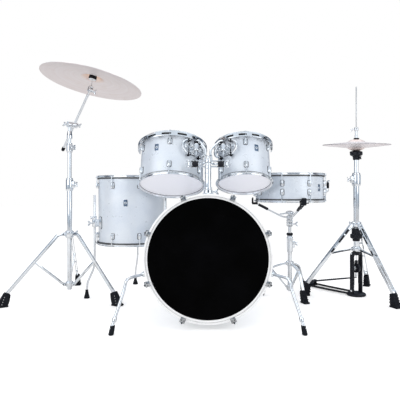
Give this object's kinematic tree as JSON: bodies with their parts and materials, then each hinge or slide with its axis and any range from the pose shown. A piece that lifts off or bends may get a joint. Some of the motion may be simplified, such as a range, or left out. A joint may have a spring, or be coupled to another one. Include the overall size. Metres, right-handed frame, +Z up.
{
  "type": "acoustic drum kit",
  "caption": "Acoustic drum kit: bass drum, mounted toms, floor tom, snare on a stand, boom-stand crash and pedal hi-hat, with working height, tilt, fold and pedal joints.",
  "frame": {"origin": "middle of the kit's bounding box, on the floor", "axes": "+X from the floor tom side to the hi-hat side, +Y from the bass drum's front back to the player, +Z up"},
  "size_m": [2.0268, 0.9852, 1.1913],
  "materials": {
    "shell_wrap": "gloss white-silver wrap over a wood shell",
    "chrome": "polished plated steel",
    "coated_head": "coated polyester film",
    "black_head": "black polyester film",
    "wood_hoop": "gloss white lacquer",
    "bronze": "brushed cast bronze",
    "black_hardware": "satin black coating",
    "steel_wire": "bright drawn wire"
  },
  "bodies": {
    "kit": {"bass_batter_head": "coated_head", "bass_batter_hoop": "wood_hoop", "bass_front_head": "black_head", "bass_front_hoop": "wood_hoop", "bass_shell": "shell_wrap", "crash_base_tube": "chrome", "floor_tom_batter_head": "coated_head", "floor_tom_bottom_head": "coated_head", "floor_tom_bottom_hoop": "chrome", "floor_tom_shell": "shell_wrap", "floor_tom_top_hoop": "chrome", "hihat_frame": "black_hardware", "hihat_lower_tube": "chrome", "hihat_tripod": "chrome", "snare_stand_base": "chrome", "tom_post_socket": "chrome"},
    "spur_left": {"spur_left": "chrome"},
    "spur_right": {"spur_right": "chrome"},
    "tom_post": {"tom_post": "chrome"},
    "tom12": {"tom12_arm": "chrome", "tom12_batter_head": "coated_head", "tom12_bottom_head": "coated_head", "tom12_bottom_hoop": "chrome", "tom12_shell": "shell_wrap", "tom12_top_hoop": "chrome"},
    "tom10": {"tom10_arm": "chrome", "tom10_batter_head": "coated_head", "tom10_bottom_head": "coated_head", "tom10_bottom_hoop": "chrome", "tom10_shell": "shell_wrap", "tom10_top_hoop": "chrome"},
    "floor_tom_leg_a": {"floor_tom_leg_a": "chrome"},
    "floor_tom_leg_b": {"floor_tom_leg_b": "chrome"},
    "floor_tom_leg_c": {"floor_tom_leg_c": "chrome"},
    "snare_stand_tube": {"snare_stand_tube": "chrome"},
    "snare": {"snare_basket": "chrome", "snare_shell": "shell_wrap", "snare_batter_head": "coated_head", "snare_side_head": "coated_head", "snare_top_hoop": "chrome", "snare_bottom_hoop": "chrome"},
    "snare_throw_off": {"snare_throw_off": "black_hardware"},
    "snare_wires": {"snare_wires": "steel_wire"},
    "crash_leg_collar": {"crash_leg_collar": "chrome"},
    "crash_leg_a": {"crash_leg_a": "chrome"},
    "crash_strut_a": {"crash_strut_a": "chrome"},
    "crash_leg_b": {"crash_leg_b": "chrome"},
    "crash_strut_b": {"crash_strut_b": "chrome"},
    "crash_leg_c": {"crash_leg_c": "chrome"},
    "crash_strut_c": {"crash_strut_c": "chrome"},
    "crash_middle_tube": {"crash_middle_tube": "chrome"},
    "crash_top_tube": {"crash_top_tube": "chrome"},
    "crash_boom": {"crash_boom_arm": "chrome"},
    "crash_tilter": {"crash_tilter": "black_hardware"},
    "crash_cymbal": {"crash_cymbal": "bronze"},
    "hihat_upper": {"hihat_upper_tube": "chrome", "hihat_bottom_cymbal": "bronze"},
    "hihat_rod": {"hihat_pull_rod": "chrome", "hihat_top_cymbal": "bronze"},
    "hihat_footboard": {"hihat_footboard": "black_hardware"}
  },
  "joints": [
    {"name": "spur_left_fold", "type": "hinge", "parent": "kit", "child": "spur_left", "pos_m": [-0.23645, -0.3343, 0.21492], "axis": [-0.9659, -0.0128, -0.2585], "range_deg": [-100, 0]},
    {"name": "spur_right_fold", "type": "hinge", "parent": "kit", "child": "spur_right", "pos_m": [0.29287, -0.3343, 0.21492], "axis": [0.9659, -0.0128, -0.2585], "range_deg": [0, 100]},
    {"name": "tom_post_height", "type": "slide", "parent": "kit", "child": "tom_post", "axis": [0, 0, 1], "range_m": [0, 0.08]},
    {"name": "tom12_tilt", "type": "hinge", "parent": "tom_post", "child": "tom12", "pos_m": [-0.02979, -0.22869, 0.69], "axis": [1, 0, 0], "range_deg": [-2, 16]},
    {"name": "tom10_tilt", "type": "hinge", "parent": "tom_post", "child": "tom10", "pos_m": [0.08621, -0.22869, 0.69], "axis": [1, 0, 0], "range_deg": [-2, 16]},
    {"name": "floor_tom_leg_a_height", "type": "slide", "parent": "kit", "child": "floor_tom_leg_a", "axis": [0, 0, 1], "range_m": [0, 0.05]},
    {"name": "floor_tom_leg_b_height", "type": "slide", "parent": "kit", "child": "floor_tom_leg_b", "axis": [0, 0, 1], "range_m": [0, 0.05]},
    {"name": "floor_tom_leg_c_height", "type": "slide", "parent": "kit", "child": "floor_tom_leg_c", "axis": [0, 0, 1], "range_m": [0, 0.05]},
    {"name": "snare_stand_height", "type": "slide", "parent": "kit", "child": "snare_stand_tube", "axis": [0, 0, 1], "range_m": [0, 0.03]},
    {"name": "snare_basket_tilt", "type": "hinge", "parent": "snare_stand_tube", "child": "snare", "pos_m": [0.47021, 0.16531, 0.39], "axis": [1, 0, 0], "range_deg": [-15, 0]},
    {"name": "snare_throw_off_swing", "type": "hinge", "parent": "snare", "child": "snare_throw_off", "pos_m": [0.67221, 0.16531, 0.5695], "axis": [0, 1, 0], "range_deg": [0, 60]},
    {"name": "snare_wires_drop", "type": "slide", "parent": "snare", "child": "snare_wires", "axis": [0, 0, 1], "range_m": [-0.003, 0]},
    {"name": "crash_tripod_fold", "type": "slide", "parent": "kit", "child": "crash_leg_collar", "axis": [0, 0, 1], "range_m": [0, 0.12697]},
    {"name": "crash_leg_a_swing", "type": "hinge", "parent": "crash_leg_collar", "child": "crash_leg_a", "pos_m": [-0.73421, 0.11389, 0.34], "axis": [0.5807, -0.8141, 0], "range_deg": [0, 38.39]},
    {"name": "crash_strut_a_swing", "type": "hinge", "parent": "kit", "child": "crash_strut_a", "pos_m": [-0.73421, 0.11389, 0.074], "axis": [0.5807, -0.8141, 0], "range_deg": [-38.39, 0]},
    {"name": "crash_leg_b_swing", "type": "hinge", "parent": "crash_leg_collar", "child": "crash_leg_b", "pos_m": [-0.68368, 0.11654, 0.34], "axis": [0.4924, 0.8704, 0], "range_deg": [0, 38.39]},
    {"name": "crash_strut_b_swing", "type": "hinge", "parent": "kit", "child": "crash_strut_b", "pos_m": [-0.68368, 0.11654, 0.074], "axis": [0.4924, 0.8704, 0], "range_deg": [-38.39, 0]},
    {"name": "crash_leg_c_swing", "type": "hinge", "parent": "crash_leg_collar", "child": "crash_leg_c", "pos_m": [-0.71449, 0.16094, 0.34], "axis": [-0.9877, -0.1564, 0], "range_deg": [0, 38.39]},
    {"name": "crash_strut_c_swing", "type": "hinge", "parent": "kit", "child": "crash_strut_c", "pos_m": [-0.71449, 0.16094, 0.074], "axis": [-0.9877, -0.1564, 0], "range_deg": [-38.39, 0]},
    {"name": "crash_middle_height", "type": "slide", "parent": "kit", "child": "crash_middle_tube", "axis": [0, 0, 1], "range_m": [-0.1, 0.06]},
    {"name": "crash_top_height", "type": "slide", "parent": "crash_middle_tube", "child": "crash_top_tube", "axis": [0, 0, 1], "range_m": [-0.02, 0.08]},
    {"name": "crash_boom_tilt", "type": "hinge", "parent": "crash_top_tube", "child": "crash_boom", "pos_m": [-0.70979, 0.13131, 0.923], "axis": [0.7417, 0.6708, 0], "range_deg": [-25, 30]},
    {"name": "crash_tilter_tilt", "type": "hinge", "parent": "crash_boom", "child": "crash_tilter", "pos_m": [-0.56861, 0.01396, 1.07977], "axis": [0.7206, 0.6662, -0.1918], "range_deg": [-20, 20]},
    {"name": "crash_cymbal_spin", "type": "hinge", "parent": "crash_tilter", "child": "crash_cymbal", "pos_m": [-0.55319, 0.02155, 1.16403], "axis": [0.1793, 0.0882, 0.9798], "continuous": true},
    {"name": "hihat_height", "type": "slide", "parent": "kit", "child": "hihat_upper", "axis": [0, 0, 1], "range_m": [-0.06, 0]},
    {"name": "hihat_open", "type": "slide", "parent": "kit", "child": "hihat_rod", "axis": [0, 0, 1], "range_m": [0, 0.02]},
    {"name": "hihat_pedal", "type": "hinge", "parent": "kit", "child": "hihat_footboard", "pos_m": [0.64716, 0.44128, 0.024], "axis": [-0.8018, -0.5976, 0], "range_deg": [0, 3.68]}
  ],
  "couplings": [
    {"joint": "snare_wires_drop", "follows": "snare_throw_off_swing", "m_per_rad": -0.00286},
    {"joint": "crash_leg_a_swing", "follows": "crash_tripod_fold", "rad_per_m": 5.2502},
    {"joint": "crash_strut_a_swing", "follows": "crash_tripod_fold", "rad_per_m": -5.2502},
    {"joint": "crash_leg_b_swing", "follows": "crash_tripod_fold", "rad_per_m": 5.2502},
    {"joint": "crash_strut_b_swing", "follows": "crash_tripod_fold", "rad_per_m": -5.2502},
    {"joint": "crash_leg_c_swing", "follows": "crash_tripod_fold", "rad_per_m": 5.2502},
    {"joint": "crash_strut_c_swing", "follows": "crash_tripod_fold", "rad_per_m": -5.2502},
    {"joint": "hihat_pedal", "follows": "hihat_open", "rad_per_m": 3.1698}
  ]
}
